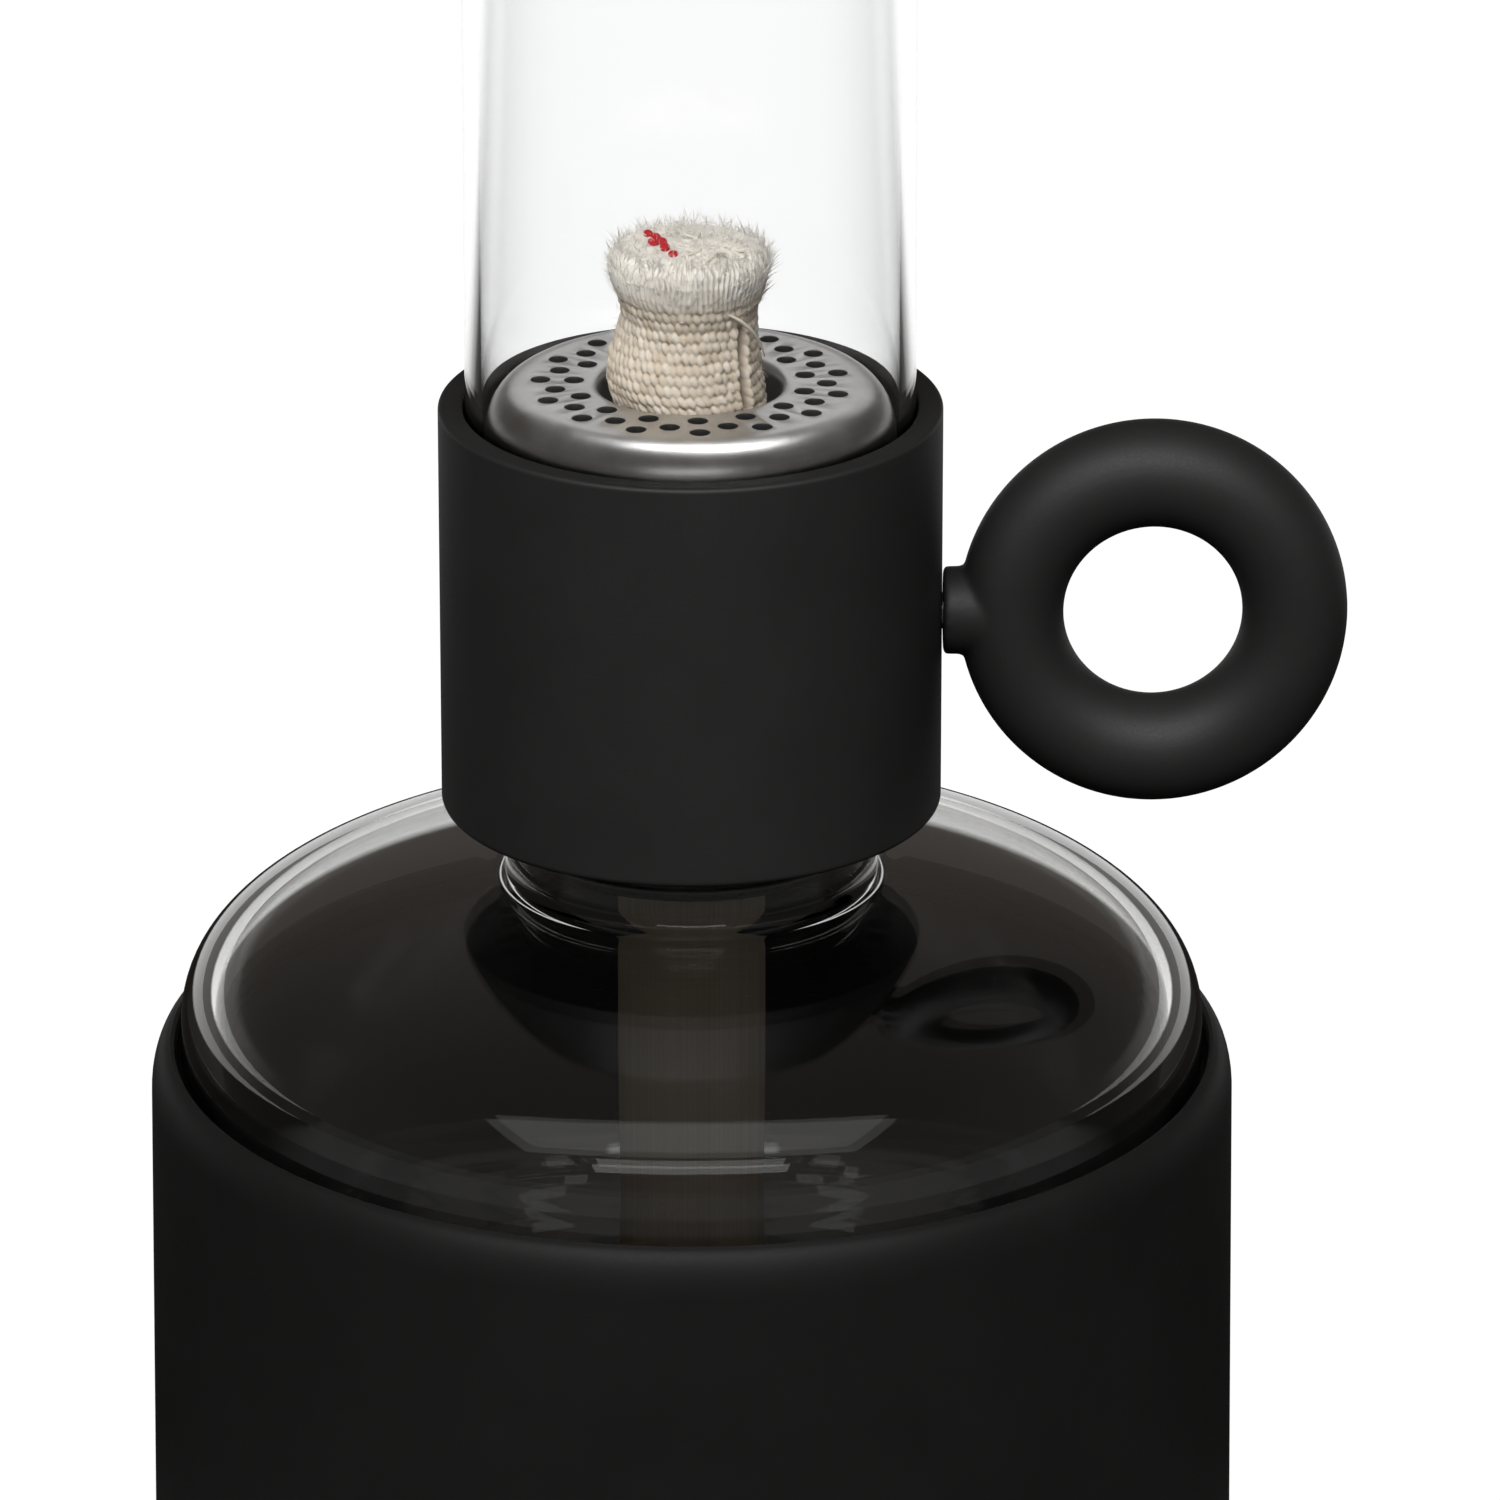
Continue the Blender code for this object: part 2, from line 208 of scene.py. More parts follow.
def wear(piece, look, body, slot, *nodes):
    """Gives a piece its material and body, and hides the CAD nodes it stands for; the slot is not used."""
    piece.data.materials.clear()
    piece.data.materials.append(look)
    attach(piece, body)
    if nodes:
        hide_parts(*nodes)
    return piece


# ---------------------------------------------------------------------------------------------
# Finishes
# ---------------------------------------------------------------------------------------------


def finish_named(name):
    """A new material: its node tree's nodes and links, and its shader."""
    look = bpy.data.materials.new(name)
    look.use_nodes = True
    tree = look.node_tree
    return look, tree, tree.nodes["Principled BSDF"]


def place_node(tree):
    return tree.nodes.new("ShaderNodeTexCoord").outputs["Object"]


def noise(tree, place, scale, detail=4.0, roughness=0.55):
    node = tree.nodes.new("ShaderNodeTexNoise")
    node.inputs["Scale"].default_value = scale
    node.inputs["Detail"].default_value = detail
    node.inputs["Roughness"].default_value = roughness
    tree.links.new(place, node.inputs["Vector"])
    return node.outputs["Fac"]


BLACK, WHITE = (0.0, 0.0, 0.0), (1.0, 1.0, 1.0)


def ramp(tree, value, stops):
    """A colour ramp through (position, colour) stops."""
    node = tree.nodes.new("ShaderNodeValToRGB")
    elements = node.color_ramp.elements
    while len(elements) < len(stops):
        elements.new(0.5)
    for element, (position, colour) in zip(elements, stops):
        element.position = position
        element.color = (*colour, 1.0)
    tree.links.new(value, node.inputs["Fac"])
    return node.outputs["Color"]


def remap(tree, value, low, high):
    """Stretches a value from 0 to 1 to one from low to high."""
    node = tree.nodes.new("ShaderNodeMapRange")
    node.inputs["To Min"].default_value = low
    node.inputs["To Max"].default_value = high
    tree.links.new(value, node.inputs["Value"])
    return node.outputs["Result"]


def bump(tree, shader, height, strength, distance):
    node = tree.nodes.new("ShaderNodeBump")
    node.inputs["Strength"].default_value = strength
    node.inputs["Distance"].default_value = distance
    tree.links.new(height, node.inputs["Height"])
    tree.links.new(node.outputs["Normal"], shader.inputs["Normal"])


def black_coat():
    """Fine matte powder coat: a close orange peel and a little variation in sheen."""
    look, tree, shader = finish_named("matte_black_coat")
    place = place_node(tree)
    shader.inputs["Specular IOR Level"].default_value = 0.16
    grain = noise(tree, place, 2600.0, 3.0)
    cloud = noise(tree, place, 60.0, 3.0)
    colour = ramp(tree, cloud, ((0.3, (0.0050, 0.0049, 0.0048)), (0.7, (0.0066, 0.0065, 0.0064))))
    tree.links.new(colour, shader.inputs["Base Color"])
    tree.links.new(remap(tree, grain, 0.50, 0.66), shader.inputs["Roughness"])
    bump(tree, shader, grain, 0.12, 0.00012)
    return look


def black_rubber():
    look, tree, shader = finish_named("black_rubber")
    grain = noise(tree, place_node(tree), 1500.0)
    shader.inputs["Specular IOR Level"].default_value = 0.25
    colour = ramp(tree, grain, ((0.3, (0.008, 0.008, 0.008)), (0.7, (0.012, 0.012, 0.012))))
    tree.links.new(colour, shader.inputs["Base Color"])
    tree.links.new(remap(tree, grain, 0.6, 0.8), shader.inputs["Roughness"])
    bump(tree, shader, grain, 0.2, 0.0001)
    return look


def satin_steel():
    """Tumbled stainless sheet: fine grain, faint drawn streaks and soft stains."""
    look, tree, shader = finish_named("satin_steel")
    place = place_node(tree)
    shader.inputs["Metallic"].default_value = 1.0
    grain = noise(tree, place, 3200.0, 3.0)
    stain = noise(tree, place, 130.0, 5.0, 0.6)
    colour = ramp(tree, stain, ((0.3, (0.42, 0.415, 0.41)), (0.7, (0.60, 0.595, 0.59))))
    tree.links.new(colour, shader.inputs["Base Color"])
    tree.links.new(remap(tree, stain, 0.26, 0.40), shader.inputs["Roughness"])
    bump(tree, shader, grain, 0.10, 0.00008)
    return look


def clear_glass(name, tint, wave):
    """Blown glass, with a wave in its surface, or drawn tube, with none."""
    look, tree, shader = finish_named(name)
    place = place_node(tree)
    shader.inputs["Base Color"].default_value = (*tint, 1.0)
    shader.inputs["Transmission Weight"].default_value = 1.0
    shader.inputs["IOR"].default_value = 1.5
    ripple = noise(tree, place, 28.0, 2.0)
    tree.links.new(remap(tree, ripple, 0.0, 0.012), shader.inputs["Roughness"])
    if wave:
        bump(tree, shader, ripple, wave, 0.0004)
    return look


def attribute(tree, name):
    """A number that the mesh stores at each of its points."""
    node = tree.nodes.new("ShaderNodeAttribute")
    node.attribute_name = name
    return node.outputs["Fac"]


def blend(tree, factor, below, above):
    """Mixes two colours, each a colour or an output."""
    node = tree.nodes.new("ShaderNodeMix")
    node.data_type = "RGBA"
    tree.links.new(factor, node.inputs["Factor"])
    for socket, value in ((node.inputs[6], below), (node.inputs[7], above)):
        if isinstance(value, tuple):
            socket.default_value = (*value, 1.0)
        else:
            tree.links.new(value, socket)
    return node.outputs[2]


def woven_cotton():
    """Beige knit with painted shade in the gaps between stitches and strands, paler and whiter towards the
    frayed head.
    """
    look, tree, shader = finish_named("woven_cotton")
    place = place_node(tree)
    shader.inputs["Roughness"].default_value = 0.95
    shader.inputs["Specular IOR Level"].default_value = 0.15
    height = attribute(tree, "height")
    # The knit's colour by the weave's height: darker in the gaps between stitches, which is painted shade.
    knit = ((0.0, (0.42, 0.33, 0.24)), (0.45, (0.76, 0.66, 0.53)), (0.95, (0.90, 0.82, 0.71)))
    tone = ramp(tree, attribute(tree, "shade"), ((0.0, (0.84, 0.80, 0.74)), (1.0, WHITE)))
    weave = tree.nodes.new("ShaderNodeMix")
    weave.data_type, weave.blend_type = "RGBA", "MULTIPLY"
    weave.inputs["Factor"].default_value = 1.0
    tree.links.new(ramp(tree, height, knit), weave.inputs[6])
    tree.links.new(tone, weave.inputs[7])
    # Across the frayed head, darker between the strands: painted shade.
    strands = ramp(tree, height, ((0.55, (0.78, 0.70, 0.58)), (0.82, (0.95, 0.91, 0.84))))
    cloud = ramp(tree, noise(tree, place, 420.0), ((0.3, BLACK), (0.7, WHITE)))
    pale = blend(tree, cloud, strands, (0.95, 0.92, 0.86))
    frayed = blend(tree, attribute(tree, "fray"), weave.outputs[2], pale)
    # Dark brown painted shade inside the slit.
    inside = blend(tree, attribute(tree, "slit"), frayed, (0.30, 0.21, 0.14))
    soaked = blend(tree, attribute(tree, "soaked"), inside, (0.16, 0.12, 0.085))
    tree.links.new(soaked, shader.inputs["Base Color"])
    bump(tree, shader, noise(tree, place, 5200.0, 5.0, 0.65), 0.5, 0.00012)
    return look


def cotton_fibre(name, colour):
    """Plain spun cotton of one colour, a little uneven."""
    look, tree, shader = finish_named(name)
    tint = noise(tree, place_node(tree), 600.0)
    darker = tuple(0.88 * value for value in colour)
    tree.links.new(ramp(tree, tint, ((0.3, darker), (0.7, colour))), shader.inputs["Base Color"])
    shader.inputs["Roughness"].default_value = 0.9
    shader.inputs["Specular IOR Level"].default_value = 0.1
    bump(tree, shader, tint, 0.2, 0.0001)
    return look


# ---------------------------------------------------------------------------------------------
# Base, bowl and neck
# ---------------------------------------------------------------------------------------------


BASE_SHOULDER_R, BASE_BORE_R, BASE_FLOOR_Z = 73.4, 70.2, 9.0
BASE_SHOULDER = (2.9, 6.5)  # its width and height
BASE_CORNER_R = 22.0
PAD_R, PAD_RECESS_Z = 66.3, 2.2
GROOVE_R = 71.3
GROOVE_Z = (66.4, 66.7, 69.7, 70.0)


def make_base(coat):
    foot_r, low, lip = BASE_HIGH[0], BASE_LOW[2], BASE_HIGH[2]
    width, height = BASE_SHOULDER
    turns = [pi / 2 * k / 12 for k in range(12)]
    shoulder = [(BASE_SHOULDER_R - width * (1 - cos(t)), lip - height * (1 - sin(t))) for t in turns]
    recess = [(0, PAD_RECESS_Z), (PAD_R, PAD_RECESS_Z), (PAD_R, low)]
    outside = rounded(((60, low, 0), (foot_r, low, 2.0), (BASE_SHOULDER_R, lip - height, 0)))[1:-1]
    rim = [(70.8, lip), (70.5, lip - 0.06), (70.3, lip - 0.2), (BASE_BORE_R, lip - 0.45)]
    mouth_low, back_low, back_high, mouth_high = GROOVE_Z
    groove = [
        (BASE_BORE_R, mouth_high),
        (GROOVE_R, back_high),
        (GROOVE_R, back_low),
        (BASE_BORE_R, mouth_low),
    ]
    corner = ((BASE_BORE_R, mouth_low, 0), (BASE_BORE_R, BASE_FLOOR_Z, BASE_CORNER_R), (0, BASE_FLOOR_Z, 0))
    bore = rounded(corner, 14)[1:]
    cup = lathe("base_cup_coated", recess + outside + shoulder + rim + groove + bore, FINE_STEPS)
    return wear(cup, coat, "base", "matte_black", "base_cup")


DOME_POWER = 2.5  # 2 would be an ellipse; more is flatter on top
DOME_RISE, DOME_RISE_INSIDE = 23.4, 20.2
EQUATOR_Z = 74.0
GLASS_SIDE, GLASS_FLOOR = 4.1, 5.0  # how thick it is
GLASS_CORNER_R, GLASS_CORNER_R_INSIDE = 22.0, 18.0
NECK_R, NECK_BORE_R = 24.25, 22.45
NECK_FOOT_R, NECK_FOOT_R_INSIDE = 27.6, 24.4  # where the neck runs out into the crown
RIM_ROUND = 0.8


def crown(radius, rise, from_r, steps):
    """The bowl's crown from from_r out to its equator, flatter on top than an ellipse."""
    points = []
    for k in range(steps + 1):
        r = from_r + (radius - from_r) * sin(pi / 2 * k / steps)
        lift = max(0.0, 1 - (r / radius) ** DOME_POWER) ** (1 / DOME_POWER)
        points.append((r, EQUATOR_Z + rise * lift))
    return points


def glass_corner(radius, low, fillet):
    """The side and the bottom of the bowl, from below its equator to the axis."""
    return rounded(((radius, 50, 0), (radius, low, fillet), (0, low, 0)), 14)[1:]


def make_bowl(glass):
    radius, low, top = GLASS_HIGH[0], GLASS_LOW[2], GLASS_HIGH[2]
    bore = radius - GLASS_SIDE
    straight = top - 3  # a height on the straight part of the neck
    outside = crown(radius, DOME_RISE, NECK_FOOT_R, 40) + glass_corner(radius, low, GLASS_CORNER_R)
    inside = crown(bore, DOME_RISE_INSIDE, NECK_FOOT_R_INSIDE, 40)
    inside += glass_corner(bore, low + GLASS_FLOOR, GLASS_CORNER_R_INSIDE)
    shoulder = ((NECK_R, straight, 0), (NECK_R, outside[0][1] + 0.1, 2.6), outside[0] + (0,))
    throat = ((NECK_BORE_R, straight, 0), (NECK_BORE_R, inside[0][1] + 0.1, 1.4), inside[0] + (0,))
    rim = (
        (NECK_BORE_R, straight, 0),
        (NECK_BORE_R, top, RIM_ROUND),
        (NECK_R, top, RIM_ROUND),
        (NECK_R, straight, 0),
    )
    outline = inside[::-1] + rounded(throat, 8)[1:-1][::-1] + rounded(rim, 6)[1:-1]
    outline += rounded(shoulder, 10)[1:-1] + outside
    bowl = lathe("bowl_glass", outline, FINE_STEPS)
    shade(bowl, 60)
    return wear(bowl, glass, "bowl", "clear_glass", "reservoir")


# ---------------------------------------------------------------------------------------------
# Collar and ring handle
# ---------------------------------------------------------------------------------------------


COLLAR_BORE_R, COLLAR_FLOOR = 30.3, 3.0
FLOOR_BORE_R = 11.6
AIR_HOLE_R, AIR_HOLE_RING_R, AIR_HOLES = 1.9, 27.2, 15
VENT_PLACE = (0, 17.0)


def make_collar(coat):
    r, low, high = COLLAR_HIGH[0], COLLAR_LOW[2], COLLAR_HIGH[2]
    floor = low + COLLAR_FLOOR
    outline = rounded(
        (
            (FLOOR_BORE_R, low, 0),
            (r, low, 0.8),
            (r, high, 0.6),
            (COLLAR_BORE_R, high, 0.5),
            (COLLAR_BORE_R, floor, 0),
            (FLOOR_BORE_R, floor, 0),
        ),
        6,
    )
    collar = lathe("collar_coated", outline)
    drill(collar, on_circle(AIR_HOLE_RING_R, AIR_HOLES) + [VENT_PLACE], AIR_HOLE_R, low - 2, floor + 2, 20)
    return wear(collar, coat, "burner", "matte_black", "collar")


RING_X, RING_R, RING_TUBE_R = 61.8, 19.0, 7.05
RING_STRETCH = 1.03  # the ring is a little taller than wide
STEM_R, STEM_FLARE_R = 5.9, 6.5
STEM_FROM_X, STEM_TO_X = 33.7, 42.8


def make_ring(coat):
    """The ring and its stem, run together with a soft cast fillet."""
    deselect()
    centre = Vector((mm(RING_X), 0, mm((RING_LOW[2] + RING_HIGH[2]) / 2)))
    bpy.ops.mesh.primitive_torus_add(
        major_segments=128,
        minor_segments=56,
        major_radius=mm(RING_R),
        minor_radius=mm(RING_TUBE_R),
        rotation=(pi / 2, 0, 0),
    )
    ring = bpy.context.object
    ring.name = "finger_ring_coated"
    bpy.ops.object.transform_apply(rotation=True)
    ring.scale = (1, 1, RING_STRETCH)
    bpy.ops.object.transform_apply(scale=True)
    ring.location = centre
    bpy.ops.object.transform_apply(location=True)
    profile = (
        (0, STEM_FROM_X, 0),
        (STEM_R, STEM_FROM_X, 0.35),
        (STEM_R, 36.0, 0),
        (STEM_FLARE_R, STEM_TO_X, 0),
        (0, STEM_TO_X, 0),
    )
    stem = lathe("stem", rounded(profile, 4), 64)
    stem.rotation_euler = (0, pi / 2, 0)
    stem.location = (0, 0, centre.z)
    pick(stem)
    bpy.ops.object.transform_apply(location=True, rotation=True)
    modify(ring, "BOOLEAN", operation="UNION", object=stem, solver="EXACT")
    bpy.data.objects.remove(stem)
    modify(ring, "REMESH", mode="VOXEL", voxel_size=mm(0.42))
    modify(ring, "SMOOTH", factor=0.5, iterations=8)
    pick(ring)
    bpy.ops.object.shade_smooth()
    return wear(ring, coat, "burner", "matte_black", "handle_ring")


# ---------------------------------------------------------------------------------------------
# Burner cap and chimney
# ---------------------------------------------------------------------------------------------


CAP_SHEET, CAP_SHOULDER, CAP_MOUTH_R = 0.8, 5.2, 12.1
CAP_MOUTH_DEPTH, CAP_MOUTH_ROUND = 4.5, 1.4
HOLE_R, HOLES_PER_RING = 1.35, 15
HOLE_RINGS = ((15.5, 9.8), (18.1, -2.2), (20.0, 9.8))  # radius, angle of the first hole


def make_cap(steel):
    r, low, top = CAP_HIGH[0], CAP_LOW[2], CAP_HIGH[2]
    inner_r, inner_top = r - CAP_SHEET, top - CAP_SHEET
    lip_r, lip_z = CAP_MOUTH_R + CAP_SHEET, top - CAP_MOUTH_DEPTH
    mid = 20  # a radius on the flat top
    skirt = ((inner_r, low, 0), (r, low, 0), (r, top, CAP_SHOULDER), (mid, top, 0))
    mouth = ((mid, top, 0), (CAP_MOUTH_R, top, CAP_MOUTH_ROUND), (CAP_MOUTH_R, lip_z, 0))
    under_mouth = ((lip_r, lip_z, 0), (lip_r, inner_top, 0.6), (mid, inner_top, 0))
    under_top = ((mid, inner_top, 0), (inner_r, inner_top, 4.4), (inner_r, low, 0))
    outline = rounded(skirt, 14)[:-1] + rounded(mouth, 8)[1:] + [(lip_r, lip_z)]
    outline += rounded(under_mouth, 5)[1:-1] + rounded(under_top, 12)[1:-1]
    cap = lathe("burner_cap_steel", outline)
    places = []
    for radius, first in HOLE_RINGS:
        places += on_circle(radius, HOLES_PER_RING, first)
    drill(cap, places, HOLE_R, top - 3, top + 2, 28)
    sharp_only = {"limit_method": "ANGLE", "angle_limit": radians(50), "harden_normals": False}
    modify(cap, "BEVEL", width=mm(0.12), segments=2, **sharp_only)
    shade(cap, 30)
    return wear(cap, steel, "cap", "satin_steel", "burner_cap")


TUBE_WALL = 2.2


def make_chimney(glass):
    r, low, high = TUBE_HIGH[0], TUBE_LOW[2], TUBE_HIGH[2]
    bore = r - TUBE_WALL
    outline = rounded(((bore, low, 0.4), (r, low, 0.4), (r, high, 0.95), (bore, high, 0.95)), 6)
    tube = lathe("chimney_glass", outline, FINE_STEPS)
    shade(tube, 60)
    return wear(tube, glass, "chimney", "clear_glass", "chimney")


# ---------------------------------------------------------------------------------------------
# Wick
# ---------------------------------------------------------------------------------------------

WICK_PROFILE = (  # height, radius
    (24.0, 0.0),
    (24.3, 8.6),
    (25.5, 9.9),
    (163.2, 9.9),
    (166.5, 10.3),
    (170.0, 10.0),
    (173.5, 9.2),
    (176.3, 8.9),
    (178.6, 9.4),
    (180.6, 10.1),
    (182.6, 10.5),
    (184.1, 10.3),
    (185.2, 9.5),
    (185.8, 8.2),
    (186.2, 5.0),
    (186.3, 0.0),
)
FREE_FROM_Z = 163.2  # below it, the tube holds the wick when it is turned right down
STITCHES = 58  # round the wick
STITCH_RISE = 1.42
WOVEN_FROM_Z, WOVEN_TO_Z = 161.0, 179.6
CUT_FROM_Z = 184.6  # where the cut end's unevenness starts
SLIT_ANGLE, SLIT_LOW, SLIT_HIGH = radians(-40), 164.0, 176.6
LEAN = -0.85
SHORTENS_TO_Z = 187.4  # the crop of fibres gets shorter towards this height


def stitches(turn, z, chance):
    """How high the weave stands at each place, 0 in a gap to 1 on a stitch, and each stitch's shade."""
    u = turn / (2 * pi) * STITCHES + 0.16 * z
    v = z / STITCH_RISE
    height = np.zeros_like(u)
    own = np.zeros_like(u)
    for dj in (-1, 0, 1):
        row = np.floor(v) + dj
        shift = 0.5 * (row % 2)
        for di in (-1, 0, 1):
            column = np.floor(u + shift) + di
            pick = (column.astype(int) % STITCHES * 131 + row.astype(int) * 37) % len(chance)
            lean = 0.28 + 0.25 * (chance[pick] - 0.5)
            du = u + shift - column - 0.5 + 0.22 * (chance[(pick + 11) % len(chance)] - 0.5)
            dv = v - row - 0.5 + 0.22 * (chance[(pick + 23) % len(chance)] - 0.5)
            across, along = du + lean * dv, dv - 0.3 * lean * du
            body = 1 - (across / 0.60) ** 2 - (along / 0.68) ** 2
            body = np.sqrt(np.clip(body, 0, 1)) * (0.75 + 0.5 * chance[(pick + 41) % len(chance)])
            own = np.where(body > height, chance[(pick + 57) % len(chance)], own)
            height = np.maximum(height, body)
    return height, own


def waves(turn, z, seeds):
    """Smooth unevenness round and along the wick, about -1 to 1."""
    total = np.zeros_like(turn)
    for k, phase in enumerate(seeds):
        total += np.sin((k % 4 + 1) * turn + 0.23 * (k % 3 + 1) * z + 2 * pi * phase) / (k % 4 + 1)
    return total / 3


def store(piece, name, values):
    """Keeps a number at each point of the mesh, for its material to read."""
    field = piece.data.attributes.new(name, "FLOAT", "POINT")
    field.data.foreach_set("value", np.asarray(values, dtype=np.float32))


def eased(value, start, end):
    """0 before start, 1 after end, and straight between them."""
    return np.clip((value - start) / (end - start), 0, 1)


def make_wick_body(look):
    """The braid: stitches, a slit and a frayed head, pushed out of a turned profile."""
    heights, radii = zip(*WICK_PROFILE)
    zs = [z for z, _ in WICK_PROFILE if z < WOVEN_FROM_Z or z > 185.4]
    zs = sorted(set(zs) | set(np.arange(WOVEN_FROM_Z, 185.3, 0.165).round(3)))
    outline = [(float(np.interp(z, heights, radii)), float(z)) for z in zs]
    wick = lathe("wick_woven", outline, 432)
    place = np.empty(len(wick.data.vertices) * 3)
    wick.data.vertices.foreach_get("co", place)
    place = place.reshape(-1, 3) / MM
    turn = np.arctan2(place[:, 1], place[:, 0])
    radius = np.hypot(place[:, 0], place[:, 1])
    z = place[:, 2]
    chance = np.random.default_rng(7).random(997)

    raised, own = stitches(turn, z, chance)
    knit = eased(z, WOVEN_FROM_Z, WOVEN_FROM_Z + 1.5) * np.clip((WOVEN_TO_Z + 1.5 - z) / 3.0, 0, 1)
    frayed = eased(z, WOVEN_TO_Z - 1.0, WOVEN_TO_Z + 2.0)
    wander = 1.2 * np.sin(z * 0.9 + turn * 5) + 6 * waves(turn, z, chance[:6])
    strands = 0.5 + 0.5 * np.sin(turn * 88 + wander)
    out = knit * (0.50 * raised - 0.25) + frayed * 0.40 * (strands - 0.5)
    free = eased(z, FREE_FROM_Z, FREE_FROM_Z + 4)
    out += free * 0.30 * waves(turn, z, chance[6:14])
    away = np.abs((turn - SLIT_ANGLE + pi) % (2 * pi) - pi) * radius
    open_to = eased(z, SLIT_LOW, SLIT_LOW + 1.2) * np.clip((SLIT_HIGH - z) / 1.5, 0, 1)
    slit = np.exp(-((away / 0.50) ** 2)) * open_to
    out += 0.35 * np.exp(-(((away - 1.1) / 0.45) ** 2)) * open_to - 1.7 * slit

    grown = radius + out * np.clip(radius / 4.0, 0, 1)
    place[:, 0] = grown * np.cos(turn) + LEAN * free * np.clip((179 - z) / 9, 0, 1)
    place[:, 1] = grown * np.sin(turn)
    cut = eased(z, CUT_FROM_Z, CUT_FROM_Z + 1.2)
    place[:, 2] = z + cut * 0.28 * waves(turn * 2, 9 * radius, chance[20:26]) - cut * 0.3
    wick.data.vertices.foreach_set("co", (place * MM).ravel())
    wick.data.update()
    # The weave's height, which the cotton material also turns into painted shade in the gaps.
    store(wick, "height", np.clip(raised * knit + (1 - knit) * (0.55 + 0.3 * strands), 0, 1))
    store(wick, "shade", own)
    store(wick, "fray", frayed)
    # The cotton material paints shade into the slit from this mask.
    store(wick, "slit", slit)
    uneven = 0.85 + 0.15 * waves(turn, z, chance[30:36])
    store(wick, "soaked", np.clip((130 - z) / 20, 0, 1) * uneven)
    pick(wick)
    bpy.ops.object.shade_smooth()
    return wear(wick, look, "wick", "cotton", "wick")


def strand_mesh(name, paths, radii, sides):
    """One mesh of thin tapering tubes along paths of points, in millimetres."""
    points, faces = [], []
    for path, radius in zip(paths, radii):
        first = len(points)
        steps = len(path)
        along = np.gradient(path, axis=0)
        along /= np.linalg.norm(along, axis=1)[:, None] + 1e-9
        side = np.cross(along, (0.31, 0.77, 0.55))
        side /= np.linalg.norm(side, axis=1)[:, None] + 1e-9
        other = np.cross(along, side)
        for k in range(steps):
            taper = radius * min(1.0, 0.35 + 1.3 * (1 - k / (steps - 1)), 0.5 + 2.5 * k / (steps - 1))
            for j in range(sides):
                roll = 2 * pi * j / sides
                points.append((path[k] + taper * (side[k] * cos(roll) + other[k] * sin(roll))) * MM)
        for k in range(steps - 1):
            for j in range(sides):
                a, b = first + k * sides + j, first + k * sides + (j + 1) % sides
                faces.append((a, b, b + sides, a + sides))
        faces.append(tuple(first + j for j in range(sides))[::-1])
        faces.append(tuple(first + (steps - 1) * sides + j for j in range(sides)))
    mesh = bpy.data.meshes.new(name)
    mesh.from_pydata([tuple(point) for point in points], [], faces)
    mesh.update()
    piece = bpy.data.objects.new(name, mesh)
    bpy.context.scene.collection.objects.link(piece)
    for polygon in mesh.polygons:
        polygon.use_smooth = True
    return piece


def fibre(rng, start, way, length, curl, steps=6):
    """A curled path from start: way turns a little at each step."""
    path = [np.array(start)]
    way = np.array(way, dtype=float)
    bend = rng.normal(0, curl, 3)
    for _ in range(steps - 1):
        way += bend * 0.5 + rng.normal(0, curl * 0.5, 3)
        way /= np.linalg.norm(way)
        path.append(path[-1] + way * length / (steps - 1))
    return np.array(path)


HEAD_FIBRES, CUT_FIBRES, WEAVE_FIBRES = 1900, 1000, 260
TOP_FIBRES_FROM_Z = 183.5  # above it, they turn inwards over the cut end


def make_fluff(look):
    """Loose cotton fibres: a thick crop round the head and on its cut end, and a few along the weave."""
    rng = np.random.default_rng(21)
    heights, radii = zip(*WICK_PROFILE)
    paths, widths = [], []

    def grow(start, way, shortest, longest, curl, shrink=1.0):
        length = rng.uniform(shortest, longest) * shrink
        paths.append(fibre(rng, start, way / np.linalg.norm(way), length, curl))

    for _ in range(HEAD_FIBRES):
        turn = rng.uniform(0, 2 * pi)
        z = rng.uniform(177.6, 185.1)
        r = float(np.interp(z, heights, radii)) - 0.05
        outward = np.array((cos(turn), sin(turn), 0))
        around = np.array((-sin(turn), cos(turn), 0))
        way = outward * rng.uniform(0.0, 0.45) + around * rng.normal(0, 0.25)
        way += np.array((0, 0, rng.uniform(0.5, 1.0)))
        if z > TOP_FIBRES_FROM_Z:
            way -= outward * rng.uniform(0, 0.7)
        shrink = min(1.0, (SHORTENS_TO_Z - z) / 4 + 0.35)
        grow(outward * r + np.array((0, 0, z)), way, 1.2, 3.2, 0.16, shrink)
        widths.append(rng.uniform(0.028, 0.06))
    for _ in range(CUT_FIBRES):
        turn, r = rng.uniform(0, 2 * pi), 9.6 * rng.random() ** 0.5
        z = float(np.interp(r, radii[:-4:-1], heights[:-4:-1])) - 0.35
        way = np.array((rng.normal(0, 0.8), rng.normal(0, 0.8), rng.uniform(0.15, 0.8)))
        grow((r * cos(turn), r * sin(turn), z), way, 0.8, 1.9, 0.3)
        widths.append(rng.uniform(0.03, 0.07))
    for _ in range(WEAVE_FIBRES):
        turn, z = rng.uniform(0, 2 * pi), rng.uniform(166.5, 178.5)
        r = float(np.interp(z, heights, radii)) + 0.1
        outward = np.array((cos(turn), sin(turn), 0))
        way = outward * rng.uniform(0.4, 1)
        way += np.array((rng.normal(0, 0.5), rng.normal(0, 0.5), rng.normal(0.2, 0.5)))
        grow(outward * r + np.array((-0.6, 0, z)), way, 0.6, 1.6, 0.4)
        widths.append(rng.uniform(0.014, 0.026))
    return wear(strand_mesh("wick_fluff", paths, widths, 3), look, "wick", "cotton")


